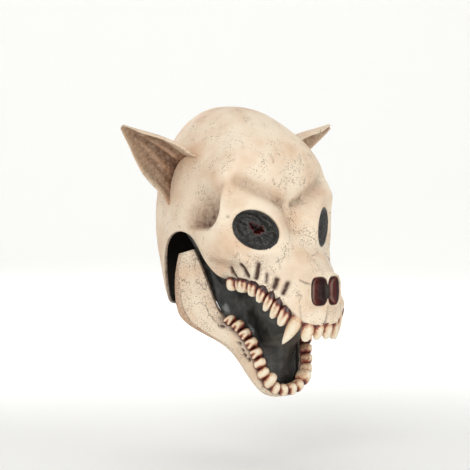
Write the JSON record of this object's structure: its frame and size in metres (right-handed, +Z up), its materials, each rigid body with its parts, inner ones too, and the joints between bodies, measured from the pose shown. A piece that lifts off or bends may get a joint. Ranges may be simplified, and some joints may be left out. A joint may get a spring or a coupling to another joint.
{
  "type": "wolf skull mask",
  "caption": "Over-the-head latex mask shaped like a wolf's skull, with an open toothed jaw, tall pointed ears, black eye sockets and a black mouth lining.",
  "frame": {"origin": "middle of the inside of the crown, where the mask rests on the wearer's head", "axes": "+Z up, the muzzle points along -Y, +X is the mask's own left, and X = 0 is its symmetry plane"},
  "size_m": [0.3084, 0.2621, 0.321],
  "materials": {
    "bone": "matt painted latex, ivory with brown shading",
    "tooth": "satin painted latex",
    "gum": "satin dark red paint",
    "black": "satin black"
  },
  "bodies": {
    "root": {"ear_left": "bone", "ear_right": "bone", "eye_socket_left": "black", "eye_socket_right": "black", "lower_canine_left": "tooth", "lower_canine_right": "tooth", "lower_cheek_tooth_1_left": "tooth", "lower_cheek_tooth_1_right": "tooth", "lower_cheek_tooth_2_left": "tooth", "lower_cheek_tooth_2_right": "tooth", "lower_cheek_tooth_3_left": "tooth", "lower_cheek_tooth_3_right": "tooth", "lower_cheek_tooth_4_left": "tooth", "lower_cheek_tooth_4_right": "tooth", "lower_cheek_tooth_5_left": "tooth", "lower_cheek_tooth_5_right": "tooth", "lower_cheek_tooth_6_left": "tooth", "lower_cheek_tooth_6_right": "tooth", "lower_cheek_tooth_7_left": "tooth", "lower_cheek_tooth_7_right": "tooth", "lower_gum": "gum", "lower_incisor_1_left": "tooth", "lower_incisor_1_right": "tooth", "lower_incisor_2_left": "tooth", "lower_incisor_2_right": "tooth", "lower_jaw": "bone", "mouth_lining": "black", "nostril_left": "gum", "nostril_right": "gum", "skull": "bone", "upper_canine_left": "tooth", "upper_canine_right": "tooth", "upper_cheek_tooth_1_left": "tooth", "upper_cheek_tooth_1_right": "tooth", "upper_cheek_tooth_2_left": "tooth", "upper_cheek_tooth_2_right": "tooth", "upper_cheek_tooth_3_left": "tooth", "upper_cheek_tooth_3_right": "tooth", "upper_cheek_tooth_4_left": "tooth", "upper_cheek_tooth_4_right": "tooth", "upper_cheek_tooth_5_left": "tooth", "upper_cheek_tooth_5_right": "tooth", "upper_cheek_tooth_6_left": "tooth", "upper_cheek_tooth_6_right": "tooth", "upper_cheek_tooth_7_left": "tooth", "upper_cheek_tooth_7_right": "tooth", "upper_gum": "gum", "upper_incisor_1_left": "tooth", "upper_incisor_1_right": "tooth", "upper_incisor_2_left": "tooth", "upper_incisor_2_right": "tooth"}
  },
  "joints": []
}
